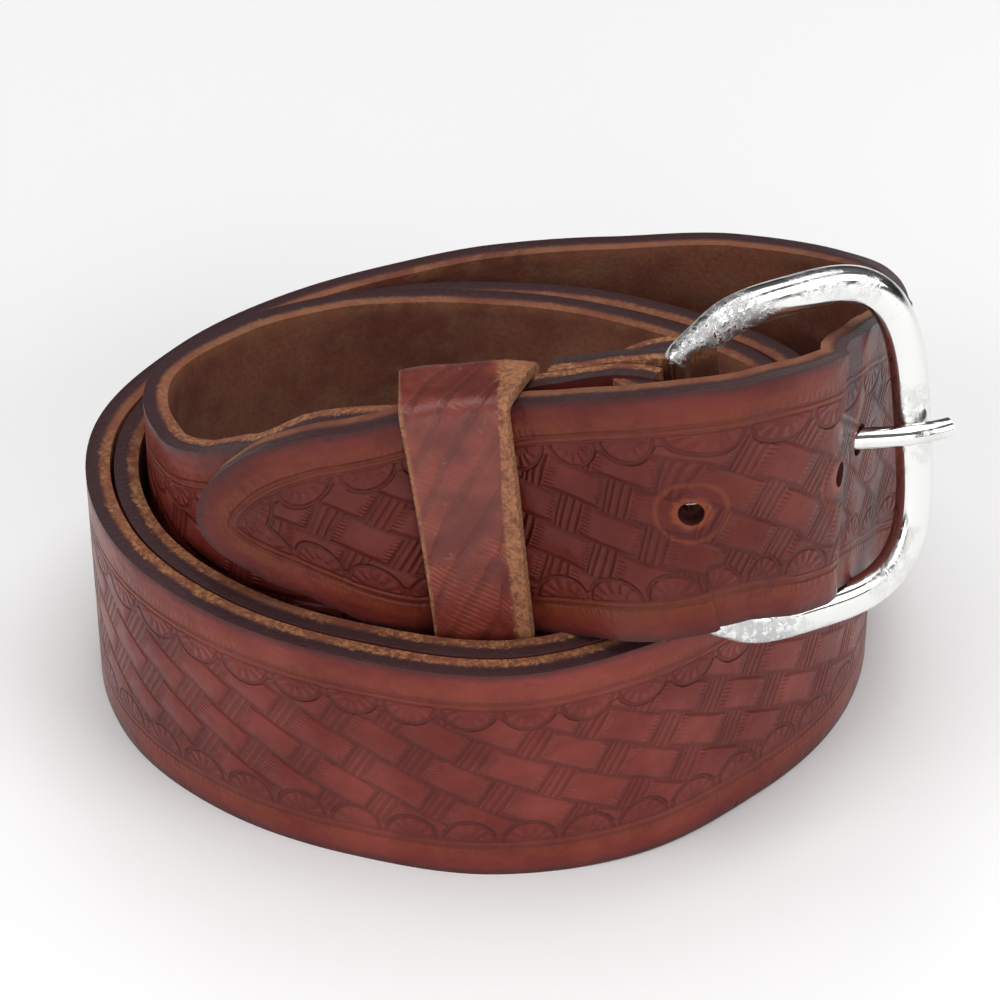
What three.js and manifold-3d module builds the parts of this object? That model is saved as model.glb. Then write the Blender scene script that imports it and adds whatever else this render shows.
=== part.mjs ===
import * as THREE from "three";
import Module from "manifold-3d";

const wasm = await Module();
wasm.setup();

// ---- driving dimensions, millimetres and degrees ----
const STRAP_WIDTH = 38.1; // across the strap
const STRAP_THICK = 3.6; // one thickness of leather
const EDGE_ROUND = 1.3; // how far the burnished rounding reaches in from the strap's edge
const PLY_GAP = 0.4; // air between two thicknesses that lie against each other
const COIL_WIDTH = 124; // outside width of the wound belt
const TIP_LENGTH = 31; // over which the free end narrows to its rounded point
const TIP_BLUNT = 1.5; // half width left at the very end
const HOLE_DIA = 4.6; // punched holes
const EASE = 14; // length over which the strap turns to stand along the heel bar
const TURN_BACK = 15; // length of the doubled end behind the heel bar

const FRAME_HEIGHT = 54; // buckle, outside, across the strap
const FRAME_LENGTH = 41.2; // buckle, outside, along the strap
const FRAME_BAND = 5.2; // width of the frame's band
const FRAME_THICK = 3.8; // depth of the frame's band
const FRAME_SQUARE = 3.4; // superellipse power of the frame's outline: 2 is an ellipse
const FRAME_BEVEL = 1.2; // rounding of the band's edges
const BUCKLE_YAW = 26; // the buckle's plane turns away from the front by this
const BUCKLE_LEAN = 14.5; // its upper edge leans in by this
const BUCKLE_SLOPE = 1; // and its far end lies lower by this
const BAR_DIA = 3.4; // heel bar
const BAR_FIT = 0.7; // air between the heel bar and the leather round it
const TONGUE_DIA = 3.4;
const RING_DIA = 1.8; // wire of the tongue's ring round the heel bar
const FIT = 0.35; // air between the other pieces

const KEEPER_WIDTH = 16; // along the strap
const KEEPER_THICK = 1.8;
const KEEPER_TILT = 6; // its upper end lies toward the tip, square to the rising strap
const KEEPER_SLACK = 2.2; // room in the loop beside the plies it holds
const KEEPER_SLOPE = 1.5; // its top lies this much lower at the back
const KEEPER_HEAD = 1.25; // room in the loop above the strap
const KEEPER_DROP = 4.8; // room in the loop below, for the inner plies that hang lower

// one ply: the leather and the air beside it
const PLY = STRAP_THICK + PLY_GAP;
const REACH = COIL_WIDTH / 2;
const DEG = Math.PI / 180;

// Outline of the outermost wrap from above. turn: share of a turn, clockwise from the front;
// reach: distance of the outer face from the coil's middle, as a share of half the coil's width
const OUTLINE = [
  { turn: 0 / 16, reach: 0.848 },
  { turn: 1 / 16, reach: 0.877 },
  { turn: 2 / 16, reach: 0.937 },
  { turn: 3 / 16, reach: 0.99 },
  { turn: 4 / 16, reach: 0.981 },
  { turn: 5 / 16, reach: 0.873 },
  { turn: 6 / 16, reach: 0.784 },
  { turn: 7 / 16, reach: 0.747 },
  { turn: 8 / 16, reach: 0.776 },
  { turn: 9 / 16, reach: 0.829 },
  { turn: 10 / 16, reach: 0.926 },
  { turn: 11 / 16, reach: 0.997 },
  { turn: 12 / 16, reach: 0.971 },
  { turn: 13 / 16, reach: 0.923 },
  { turn: 14 / 16, reach: 0.877 },
  { turn: 15 / 16, reach: 0.855 },
];

// The strap's way round. turn: turns from the front, clockwise; plies: how many plies it lies inside
// the outline; lift: height of its lower edge, in strap widths; lean: degrees the upper edge leans in
const ROUTE = [
  { turn: -0.081, plies: 0.25, lift: 1.102, lean: 14.5 },
  { turn: -0.067, plies: 1.42, lift: 1.076, lean: 7.5 },
  { turn: -0.055, plies: 2.12, lift: 1.034, lean: 4 },
  { turn: -0.04, plies: 2.87, lift: 0.982, lean: 2 },
  { turn: -0.02, plies: 3.48, lift: 0.929, lean: 1 },
  { turn: 0, plies: 3.80, lift: 0.903, lean: 0 },
  { turn: 0.02, plies: 3.81, lift: 0.877, lean: 0 },
  { turn: 0.05, plies: 3.52, lift: 0.835, lean: 0 },
  { turn: 0.08, plies: 3.53, lift: 0.761, lean: 2 },
  { turn: 0.11, plies: 3.15, lift: 0.625, lean: 3 },
  { turn: 0.145, plies: 2.83, lift: 0.459, lean: 3 },
  { turn: 0.19, plies: 2.41, lift: 0.328, lean: 2 },
  { turn: 0.25, plies: 2.20, lift: 0.244, lean: 0 },
  { turn: 0.3125, plies: 2.10, lift: 0.163, lean: 0 },
  { turn: 0.375, plies: 2.05, lift: 0.094, lean: 0 },
  { turn: 0.4375, plies: 2.52, lift: 0.052, lean: 0 },
  { turn: 0.5, plies: 3.53, lift: 0.034, lean: 0 },
  { turn: 0.5625, plies: 4.05, lift: 0.013, lean: 0 },
  { turn: 0.625, plies: 4.72, lift: 0.000, lean: 0 },
  { turn: 0.6875, plies: 4.15, lift: 0.000, lean: 0 },
  { turn: 0.75, plies: 2.40, lift: 0.000, lean: 0 },
  { turn: 0.8125, plies: 1.65, lift: 0.003, lean: 2 },
  { turn: 0.875, plies: 1.57, lift: 0.005, lean: 4.2 },
  { turn: 0.9375, plies: 0.88, lift: 0.004, lean: 3 },
  { turn: 1, plies: 0.47, lift: 0.000, lean: 0 },
  { turn: 1.0625, plies: 0.85, lift: 0.000, lean: 0 },
  { turn: 1.125, plies: 1.00, lift: 0.000, lean: 0 },
  { turn: 1.1875, plies: 1.00, lift: 0.000, lean: 0 },
  { turn: 1.25, plies: 1.07, lift: 0.000, lean: 0 },
  { turn: 1.3125, plies: 1.03, lift: 0.000, lean: 0 },
  { turn: 1.375, plies: 1.00, lift: 0.000, lean: 0 },
  { turn: 1.4375, plies: 1.47, lift: 0.000, lean: 0 },
  { turn: 1.5, plies: 2.47, lift: 0.000, lean: 0 },
  { turn: 1.5625, plies: 3.03, lift: 0.000, lean: 0 },
  { turn: 1.625, plies: 3.65, lift: 0.000, lean: 0 },
  { turn: 1.6875, plies: 3.05, lift: 0.000, lean: 0 },
  { turn: 1.75, plies: 0.95, lift: 0.000, lean: 0 },
  { turn: 1.8125, plies: 0.60, lift: 0.003, lean: 2 },
  { turn: 1.875, plies: 0.47, lift: 0.005, lean: 3.6 },
  { turn: 1.9375, plies: -0.13, lift: 0.004, lean: 2.8 },
  { turn: 2, plies: -0.53, lift: 0.000, lean: 0 },
  { turn: 2.4375, plies: 0.00, lift: 0.000, lean: 0 },
  { turn: 2.5, plies: 0.00, lift: 0.008, lean: 0 },
  { turn: 2.5625, plies: 0.00, lift: 0.052, lean: 0 },
  { turn: 2.625, plies: 0.00, lift: 0.171, lean: 1 },
  { turn: 2.6875, plies: 0.00, lift: 0.354, lean: 4 },
  { turn: 2.72, plies: -0.05, lift: 0.486, lean: 5 },
  { turn: 2.75, plies: -0.17, lift: 0.617, lean: 6 },
  { turn: 2.778, plies: -0.26, lift: 0.740, lean: 7 },
  { turn: 2.8, plies: -0.10, lift: 0.835, lean: 5.2 },
  { turn: 2.82, plies: -0.24, lift: 0.924, lean: 4.7 },
  { turn: 2.847, plies: -0.81, lift: 1.034, lean: 3.3 },
  { turn: 2.865, plies: -1.46, lift: 1.087, lean: 5.5 },
  { turn: 2.882, plies: -1.61, lift: 1.144, lean: 6 },
  { turn: 2.9, plies: -1.53, lift: 1.181, lean: 6 },
  { turn: 2.918, plies: -1.22, lift: 1.186, lean: 7 },
  { turn: 2.934, plies: -0.46, lift: 1.139, lean: 6.5 },
  { turn: 2.955, plies: 0.86, lift: 1.055, lean: 4 },
  { turn: 2.965, plies: 1.43, lift: 1.024, lean: 2 },
  { turn: 2.975, plies: 1.91, lift: 0.992, lean: 1 },
  { turn: 2.987, plies: 2.31, lift: 0.966, lean: 0.3 },
  { turn: 3, plies: 2.58, lift: 0.948, lean: 0 },
  { turn: 3.03, plies: 2.56, lift: 0.940, lean: 0 },
  { turn: 3.052, plies: 2.19, lift: 0.934, lean: 0 },
  { turn: 3.076, plies: 1.92, lift: 0.929, lean: 0 },
  { turn: 3.096, plies: 1.78, lift: 0.908, lean: 0 },
  { turn: 3.121, plies: 1.47, lift: 0.845, lean: 0 },
  { turn: 3.142, plies: 1.03, lift: 0.772, lean: 0 },
];
// Punched holes. from_tongue: from the hole in use, toward the free end
const HOLES = [{ from_tongue: -50.8 }, { from_tongue: -25.4 }, { from_tongue: 16 }, { from_tongue: 41 }];
const BAR_TURN = ROUTE[0].turn; // the heel bar
const END_TURN = ROUTE[ROUTE.length - 1].turn; // the free end
const TONGUE_TURN = 2.8167; // the hole in use
const KEEPER_TURN = 3.014; // the keeper's middle

// ---- the strap's path ----
const cubic = (a, b, c, d, f) =>
  b + 0.5 * f * (c - a + f * (2 * a - 5 * b + 4 * c - d + f * (3 * (b - c) + d - a)));

function outlineAt(turn) {
  const n = OUTLINE.length,
    s = (turn - Math.floor(turn)) * n,
    i = Math.floor(s);
  const reach = (k) => OUTLINE[(i + k + n) % n].reach;
  return REACH * cubic(reach(-1), reach(0), reach(1), reach(2), s - i);
}

// smooth value of one column of the route, without overshoot between its rows
function routeAt(turn, column) {
  const last = ROUTE.length - 1;
  let i = ROUTE.findIndex((row) => row.turn > turn) - 1;
  if (i < 0) i = turn < ROUTE[0].turn ? 0 : last - 1;
  const slope = (k) => (ROUTE[k + 1][column] - ROUTE[k][column]) / (ROUTE[k + 1].turn - ROUTE[k].turn);
  const bend = (k) => {
    if (k === 0) return slope(0);
    if (k === last) return slope(last - 1);
    const a = slope(k - 1),
      b = slope(k);
    return a * b <= 0 ? 0 : (2 * a * b) / (a + b);
  };
  const w = ROUTE[i + 1].turn - ROUTE[i].turn,
    f = (turn - ROUTE[i].turn) / w,
    p = ROUTE[i][column],
    q = ROUTE[i + 1][column];
  return (
    p * (1 + 2 * f) * (1 - f) ** 2 + w * bend(i) * f * (1 - f) ** 2 +
    q * f * f * (3 - 2 * f) + w * bend(i + 1) * f * f * (f - 1)
  );
}

function middleAt(turn) {
  const a = turn * 2 * Math.PI,
    r = outlineAt(turn) - routeAt(turn, "plies") * PLY - STRAP_THICK / 2,
    lean = routeAt(turn, "lean") * DEG;
  return new THREE.Vector3(
    -Math.sin(a) * r,
    -Math.cos(a) * r,
    STRAP_WIDTH * (routeAt(turn, "lift") + Math.cos(lean) / 2),
  );
}

// a section of the strap: its middle, the way along, the way up its width and the way out of its grain
function sectionAt(turn) {
  const step = 0.002,
    at = middleAt(turn),
    along = middleAt(turn + step).sub(middleAt(turn - step)).normalize(),
    lean = routeAt(turn, "lean") * DEG,
    inward = new THREE.Vector3(along.y, -along.x, 0).normalize();
  const up = new THREE.Vector3(0, 0, Math.cos(lean)).addScaledVector(inward, Math.sin(lean));
  up.addScaledVector(along, -up.dot(along)).normalize();
  return { at, along, up, out: new THREE.Vector3().crossVectors(up, along) };
}

// length of the path from the heel bar, and back again
const STEP = 1 / 720;
const lengths = [{ turn: BAR_TURN, run: 0 }];
while (lengths[lengths.length - 1].turn < END_TURN - 1e-9) {
  const from = lengths[lengths.length - 1],
    turn = Math.min(from.turn + STEP, END_TURN);
  lengths.push({ turn, run: from.run + middleAt(turn).distanceTo(middleAt(from.turn)) });
}
function look(key, want, value) {
  const i = Math.min(Math.max(lengths.findIndex((row) => row[want] >= key), 1), lengths.length - 1),
    a = lengths[i - 1],
    b = lengths[i];
  return a[value] + ((key - a[want]) / (b[want] - a[want])) * (b[value] - a[value]);
}
const runAt = (turn) => look(turn, "turn", "run");
const turnAt = (run) => look(run, "run", "turn");
const TOTAL_RUN = runAt(END_TURN);

// ---- helpers for solids ----
function solid(geometry) {
  const g = geometry.index ? geometry : geometry.clone();
  const positions = g.getAttribute("position"),
    keys = new Map(),
    points = [],
    tris = [];
  const corner = (i) => {
    const p = [positions.getX(i), positions.getY(i), positions.getZ(i)];
    const key = p.map((v) => Math.round(v * 1e5)).join(",");
    if (!keys.has(key)) {
      keys.set(key, keys.size);
      points.push(...p);
    }
    return keys.get(key);
  };
  const count = g.index ? g.index.count : positions.count;
  for (let i = 0; i < count; i += 3) {
    const t = [0, 1, 2].map((k) => corner(g.index ? g.index.getX(i + k) : i + k));
    if (t[0] !== t[1] && t[1] !== t[2] && t[0] !== t[2]) tris.push(...t);
  }
  return new wasm.Manifold(
    new wasm.Mesh({
      numProp: 3,
      vertProperties: new Float32Array(points),
      triVerts: new Uint32Array(tris),
    }),
  );
}

function meshOf(manifold, name, material) {
  const m = manifold.getMesh(),
    n = m.numProp,
    v = new Float32Array(m.numVert * 3);
  for (let i = 0; i < m.numVert; i++) v.set(m.vertProperties.subarray(i * n, i * n + 3), i * 3);
  const g = new THREE.BufferGeometry();
  g.setAttribute("position", new THREE.BufferAttribute(v, 3));
  g.setIndex(new THREE.BufferAttribute(m.triVerts, 1));
  g.computeVertexNormals();
  const mesh = new THREE.Mesh(g, material);
  mesh.name = name;
  return mesh;
}

// skin over rings of points: closed tube with flat ends
function loft(rings) {
  const n = rings[0].length,
    position = rings.flat().flatMap((p) => p.toArray()),
    index = [];
  for (let r = 0; r + 1 < rings.length; r++)
    for (let i = 0; i < n; i++) {
      const a = r * n + i,
        b = r * n + ((i + 1) % n);
      index.push(a, b, b + n, a, b + n, a + n);
    }
  const end = (rings.length - 1) * n;
  for (let i = 1; i + 1 < n; i++) index.push(0, i + 1, i, end, end + i, end + i + 1);
  const g = new THREE.BufferGeometry();
  g.setAttribute("position", new THREE.Float32BufferAttribute(position, 3));
  g.setIndex(index);
  return g;
}

// rounded section of the strap, going round so that a loft along the path faces outward
const EDGE_STEPS = 5; // odd, so that the edge ends in a narrow flat
const EDGE_CREST = Math.sin((Math.floor(EDGE_STEPS / 2) / EDGE_STEPS) * Math.PI);
function ring(section, half = STRAP_WIDTH / 2) {
  const round = Math.min(EDGE_ROUND, half * 0.6),
    points = [];
  for (const side of [1, -1])
    for (let k = 0; k <= EDGE_STEPS; k++) {
      const a = (k / EDGE_STEPS) * Math.PI,
        n = (side * Math.cos(a) * STRAP_THICK) / 2,
        u = side * (half - round * (1 - Math.sin(a) / EDGE_CREST));
      points.push(section.at.clone().addScaledVector(section.out, n).addScaledVector(section.up, u));
    }
  return points;
}

// ---- the buckle's axes: along the strap, up the heel bar, and out ----
const yaw = BUCKLE_YAW * DEG,
  lean = BUCKLE_LEAN * DEG;
const slope = BUCKLE_SLOPE * DEG;
const frameAlong = new THREE.Vector3(
  Math.cos(yaw) * Math.cos(slope), Math.sin(yaw) * Math.cos(slope), -Math.sin(slope),
);
const frameIn = new THREE.Vector3(-Math.sin(yaw), Math.cos(yaw), 0);
const frameUp = new THREE.Vector3(0, 0, Math.cos(lean)).addScaledVector(frameIn, Math.sin(lean));
frameUp.addScaledVector(frameAlong, -frameUp.dot(frameAlong)).normalize();
const frameOut = new THREE.Vector3().crossVectors(frameAlong, frameUp);

// ---- heel bar and turn-back ----
const barSection = easeToBar(sectionAt(BAR_TURN), 0);
const bendRadius = BAR_DIA / 2 + BAR_FIT + STRAP_THICK / 2; // of the strap's middle round the bar
const barAlong = new THREE.Vector3().crossVectors(barSection.up, barSection.out);
const barAt = barSection.at.clone().addScaledVector(barSection.out, -bendRadius);

// near the heel bar the strap stands along it
function easeToBar(s, run) {
  const share = Math.max(0, 1 - run / EASE);
  s.up.lerp(frameUp, share * share * (3 - 2 * share)).normalize();
  s.out.addScaledVector(s.up, -s.out.dot(s.up)).normalize();
  return s;
}
const strapSections = [];
const BACK_STEPS = 10,
  BEND_STEPS = 8;
for (let k = BACK_STEPS; k > 0; k--) {
  // the doubled end lies a ply inside the strap, and spreads where the bar lies between them
  const run = (k / BACK_STEPS) * TURN_BACK,
    s = easeToBar(sectionAt(turnAt(run)), run),
    spread = PLY + (2 * bendRadius - PLY) * Math.exp(-((run / (TURN_BACK / 3)) ** 2));
  s.at.addScaledVector(s.out, -spread);
  s.out.negate();
  strapSections.push(s);
}
for (let k = 0; k < BEND_STEPS; k++) {
  const a = (k / BEND_STEPS - 0.5) * Math.PI,
    out = barSection.out.clone().multiplyScalar(Math.sin(a)).addScaledVector(barAlong, -Math.cos(a));
  strapSections.push({ at: barAt.clone().addScaledVector(out, bendRadius), out, up: barSection.up });
}

// ---- strap ----
const STATIONS_PER_TURN = 56;
const stations = Math.round((END_TURN - BAR_TURN) * STATIONS_PER_TURN);
const rings = strapSections.map((s) => ring(s));
for (let k = 0; k <= stations; k++) {
  const turn = BAR_TURN + ((END_TURN - BAR_TURN) * k) / stations,
    left = TOTAL_RUN - runAt(turn);
  if (left > TIP_LENGTH) rings.push(ring(easeToBar(sectionAt(turn), runAt(turn))));
}
const TIP_STEPS = 12;
for (let k = 0; k <= TIP_STEPS; k++) {
  const left = TIP_LENGTH * (1 - k / TIP_STEPS) ** 1.6,
    half = Math.max((STRAP_WIDTH / 2) * Math.sqrt(left / TIP_LENGTH), TIP_BLUNT);
  rings.push(ring(sectionAt(turnAt(TOTAL_RUN - left)), half));
}
let strap = solid(loft(rings));

// the shaft of a cutter, or a bar, along a line
function rod(from, along, length, radius, sides = 20) {
  const g = new THREE.CylinderGeometry(radius, radius, length, sides);
  g.applyQuaternion(new THREE.Quaternion().setFromUnitVectors(new THREE.Vector3(0, 1, 0), along));
  return solid(g.translate(from.x, from.y, from.z));
}
for (const hole of HOLES) {
  const s = sectionAt(turnAt(runAt(TONGUE_TURN) + hole.from_tongue));
  strap = strap.subtract(rod(s.at, s.out, STRAP_THICK * 2, HOLE_DIA / 2, 16));
}

// ---- buckle ----
const toBuckle = new THREE.Matrix4().makeBasis(frameAlong, frameUp, frameOut).setPosition(barAt);
const inBuckle = (a, u, n) => new THREE.Vector3(a, u, n).applyMatrix4(toBuckle);

const HEEL_REACH = BAR_DIA / 2 + 1.2; // the frame's corners reach this far behind the heel bar's middle
const frameMiddle = FRAME_LENGTH / 2 - HEEL_REACH;
function superellipse(length, height, middle, steps) {
  const points = [];
  for (let k = 0; k < steps; k++) {
    const a = (k / steps) * 2 * Math.PI,
      bow = (v) => Math.sign(v) * Math.abs(v) ** (2 / FRAME_SQUARE);
    points.push(new THREE.Vector2(middle + (length / 2) * bow(Math.cos(a)), (height / 2) * bow(Math.sin(a))));
  }
  return points;
}
const FRAME_STEPS = 44;
const shape = new THREE.Shape(
  superellipse(FRAME_LENGTH - 2 * FRAME_BEVEL, FRAME_HEIGHT - 2 * FRAME_BEVEL, frameMiddle, FRAME_STEPS),
);
shape.holes.push(
  new THREE.Path(
    superellipse(
      FRAME_LENGTH - 2 * FRAME_BAND + 2 * FRAME_BEVEL,
      FRAME_HEIGHT - 2 * FRAME_BAND + 2 * FRAME_BEVEL,
      frameMiddle,
      FRAME_STEPS,
    ),
  ),
);
const band = new THREE.ExtrudeGeometry(shape, {
  depth: FRAME_THICK - 2 * FRAME_BEVEL,
  bevelEnabled: true,
  bevelThickness: FRAME_BEVEL,
  bevelSize: FRAME_BEVEL,
  bevelSegments: 2,
  steps: 1,
}).translate(0, 0, FRAME_BEVEL - FRAME_THICK / 2);
// between the arms the heel side is a thin round bar, clear of the leather that turns round it
const armGap = STRAP_WIDTH + 2 * BAR_FIT;
const heelGap = new THREE.BoxGeometry(4 * FRAME_BAND, armGap, 2 * FRAME_THICK).translate(
  -2 * FRAME_BAND + bendRadius + STRAP_THICK / 2 + FIT, 0, 0,
);
const bar = new THREE.CylinderGeometry(BAR_DIA / 2, BAR_DIA / 2, armGap + FRAME_BAND / 2, 16);
const frame = solid(band).subtract(solid(heelGap)).add(solid(bar)).transform(toBuckle.elements);

// ---- tongue ----
const ringRadius = BAR_DIA / 2 + FIT + RING_DIA / 2;
const OUTER_BAR = FRAME_LENGTH - HEEL_REACH - FRAME_BAND / 2; // from the heel bar to the outer bar
const restHeight = FRAME_THICK / 2 + 1.5 * FIT + TONGUE_DIA / 2;
// the tongue from its ring: out and height as shares of the outer bar's distance and rest height
const TONGUE_LINE = [
  { out: 0.09, height: 0 },
  { out: 0.3, height: -0.3 },
  { out: 0.55, height: -0.6 },
  { out: 0.7, height: -0.4 },
  { out: 0.84, height: 0.45 },
  { out: 1.0, height: 1 },
  { out: 1.1, height: 1 },
];
const tonguePath = new THREE.CatmullRomCurve3(
  TONGUE_LINE.map((row) => new THREE.Vector3(row.out * OUTER_BAR, 0, row.height * restHeight)),
);
function alongTongue(radius) {
  const section = new THREE.Shape();
  section.absarc(0, 0, radius, 0, 2 * Math.PI);
  return new THREE.ExtrudeGeometry(section, {
    steps: 30,
    curveSegments: 7,
    bevelEnabled: false,
    extrudePath: tonguePath,
  });
}
const eye = new THREE.TorusGeometry(ringRadius, RING_DIA / 2, 10, 24).rotateX(Math.PI / 2);
const tongue = solid(alongTongue(TONGUE_DIA / 2)).add(solid(eye)).transform(toBuckle.elements);

// the slot in the strap where the tongue's ring goes round the bar
const SLOT_BACK = 7; // the slot's end, behind the heel bar
const slotTop = bendRadius + STRAP_THICK / 2 + PLY_GAP / 2;
const slot = new THREE.BoxGeometry(SLOT_BACK + slotTop, TONGUE_DIA + 2 * FIT, 2 * slotTop);
slot.translate((slotTop - SLOT_BACK) / 2, 0, 0);
strap = strap.subtract(solid(slot).transform(toBuckle.elements));
// the hole in use, drawn long by the tongue
strap = strap.subtract(solid(alongTongue(TONGUE_DIA / 2 + FIT)).transform(toBuckle.elements));

// ---- keeper ----
const keeperHalf = STRAP_WIDTH / 2;
const keeperDepth = PLY + STRAP_THICK / 2 + KEEPER_SLACK;
function keeperRing(grow) {
  // rounded rectangle, in the way out and the way up of the strap's section
  const out = STRAP_THICK / 2 + 1.6 * FIT + grow,
    deep = -keeperDepth - grow,
    top = keeperHalf + KEEPER_HEAD + grow,
    low = -keeperHalf - KEEPER_DROP - grow,
    r = 0.8 + grow,
    points = [];
  for (const [x, y, from] of [
    [out - r, top - r, 0], [deep + r, top - KEEPER_SLOPE - r, 1], [deep + r, low + r, 2], [out - r, low + r, 3],
  ])
    for (let k = 0; k <= 3; k++) {
      const a = ((from + k / 3) * Math.PI) / 2;
      points.push({ n: x + r * Math.cos(a), u: y + r * Math.sin(a) });
    }
  return points;
}
const keeperRun = runAt(KEEPER_TURN),
  keeperHeight = sectionAt(KEEPER_TURN).at.z,
  tilt = KEEPER_TILT * DEG;
function keeperSkin(grow, extra) {
  const rings = [],
    steps = 6;
  for (let k = 0; k <= steps; k++) {
    const along = (k / steps - 0.5) * (KEEPER_WIDTH + extra);
    rings.push(
      keeperRing(grow).map(({ n, u }) => {
        const s = sectionAt(turnAt(keeperRun + along * Math.cos(tilt) + u * Math.sin(tilt))),
          point = s.at.addScaledVector(s.out, n);
        return point.setZ(keeperHeight + u * Math.cos(tilt) - along * Math.sin(tilt));
      }),
    );
  }
  return solid(loft(rings));
}
const keeper = keeperSkin(KEEPER_THICK, 0).subtract(keeperSkin(0, 2));

// ---- the belt ----
const leather = new THREE.MeshStandardMaterial({ color: 0x7a2f22, roughness: 0.5 });
const keeperLeather = new THREE.MeshStandardMaterial({ color: 0x6e2a1e, roughness: 0.55 });
const chrome = new THREE.MeshStandardMaterial({ color: 0xd9dadd, metalness: 1, roughness: 0.15 });
const chromeTongue = new THREE.MeshStandardMaterial({ color: 0xd0d2d6, metalness: 1, roughness: 0.2 });

const belt = new THREE.Group();
belt.add(
  meshOf(strap, "strap", leather),
  meshOf(frame, "buckle_frame", chrome),
  meshOf(tongue, "buckle_tongue", chromeTongue),
  meshOf(keeper, "keeper_loop", keeperLeather),
);
const bounds = new THREE.Box3().setFromObject(belt);
belt.position.set(
  -(bounds.min.x + bounds.max.x) / 2,
  -(bounds.min.y + bounds.max.y) / 2,
  -bounds.min.z,
);
export default belt;
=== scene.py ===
# %% [markdown]
# # A rolled western belt
# A tooled leather strap is wound on its edge and buckled to itself. The photograph shows four
# things: the strap, a rounded frame buckle, its prong, and a leather keeper loop. The strap is one
# long ribbon, so it is cut flat, punched, and then wound along the same route as the solid model.

# %% Load the solid model
import bpy, math
import numpy as np
from mathutils import Vector, Matrix


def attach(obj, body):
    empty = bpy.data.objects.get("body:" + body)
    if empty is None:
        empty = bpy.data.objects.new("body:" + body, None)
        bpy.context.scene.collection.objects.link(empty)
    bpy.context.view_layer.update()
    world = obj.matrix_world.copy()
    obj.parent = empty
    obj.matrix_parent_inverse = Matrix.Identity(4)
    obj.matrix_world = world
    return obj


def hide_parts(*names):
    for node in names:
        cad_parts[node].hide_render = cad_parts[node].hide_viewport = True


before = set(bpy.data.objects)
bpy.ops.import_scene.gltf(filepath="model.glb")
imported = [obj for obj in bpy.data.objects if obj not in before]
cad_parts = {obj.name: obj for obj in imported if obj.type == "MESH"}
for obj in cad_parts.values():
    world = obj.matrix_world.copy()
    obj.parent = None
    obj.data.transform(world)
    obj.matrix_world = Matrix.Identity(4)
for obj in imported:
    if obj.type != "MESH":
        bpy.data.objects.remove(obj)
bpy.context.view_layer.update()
print("solids:", sorted(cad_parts))

# %% [markdown]
# ## The sizes
# A belt maker works from a few sizes: the strap's width and thickness, the tip, the punched holes
# and the buckle. They are the same values as in the solid model, in millimetres.

# %% Sizes of the strap, the buckle and the keeper
MM = 0.001
STRAP_WIDTH, STRAP_THICK = 38.1, 3.6
PLY = STRAP_THICK + 0.4  # one thickness of leather and the air beside it
REACH = 62.0  # half the width of the coil
TIP_LENGTH, TIP_BLUNT = 31.0, 1.5  # the pointed end, and half its width at the very point
HOLE_DIA, HOLE_OPEN = 4.6, 0.8  # the punch, and the share that the worn leather leaves open
HOLE_RING, HOLE_RIM = 4.6, 3.2  # radius of the ring pressed round a hole, and of its pale rim
EDGE_ROUND, KEEPER_ROUND = 1.2, 0.5  # rounding of the cut edges
TURN_BACK = 15.0  # doubled end behind the heel bar
EASE = 14.0  # the strap turns to stand along the heel bar over this length
FRAME_HEIGHT, FRAME_LENGTH, FRAME_BAND, FRAME_THICK = 54.0, 41.2, 5.2, 3.8
FRAME_SQUARE = 3.4  # power of the superellipse: 2 would be an ellipse
BUCKLE_YAW, BUCKLE_LEAN, BUCKLE_SLOPE = 26.0, 14.5, 1.0
BAR_DIA, BAR_FIT = 3.4, 0.7
BAR_INSET, BAR_REACH, BAR_MERGE = 1.2, 20.5, 1.6  # in from the frame's end; half its length; blend
HEEL = BAR_DIA / 2 + BAR_INSET  # from the bar's middle to the frame's end
TONGUE_DIA, RING_DIA, FIT = 3.4, 1.8, 0.35
SLOT_START, PRONG_ROOM = 7.0, 0.6  # the slot begins this far behind the bar; room round the prong
KEEPER_WIDTH, KEEPER_THICK, KEEPER_TILT = 16.0, 1.8, 6.0
KEEPER_SLACK, KEEPER_HEAD, KEEPER_SLOPE, KEEPER_DROP = 2.2, 1.25, 1.5, 4.8  # room inside the loop
TONGUE_TURN, KEEPER_TURN = 2.8167, 3.014
HOLES = (-50.8, -25.4, 16.0, 41.0)  # from the hole in use, toward the free end

# %% The route of the strap, wrap by wrap
# outline: reach of the outermost wrap, every sixteenth of a turn, as a share of REACH
OUTLINE = [0.848, 0.877, 0.937, 0.99, 0.981, 0.873, 0.784, 0.747,
           0.776, 0.829, 0.926, 0.997, 0.971, 0.923, 0.877, 0.855]
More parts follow.
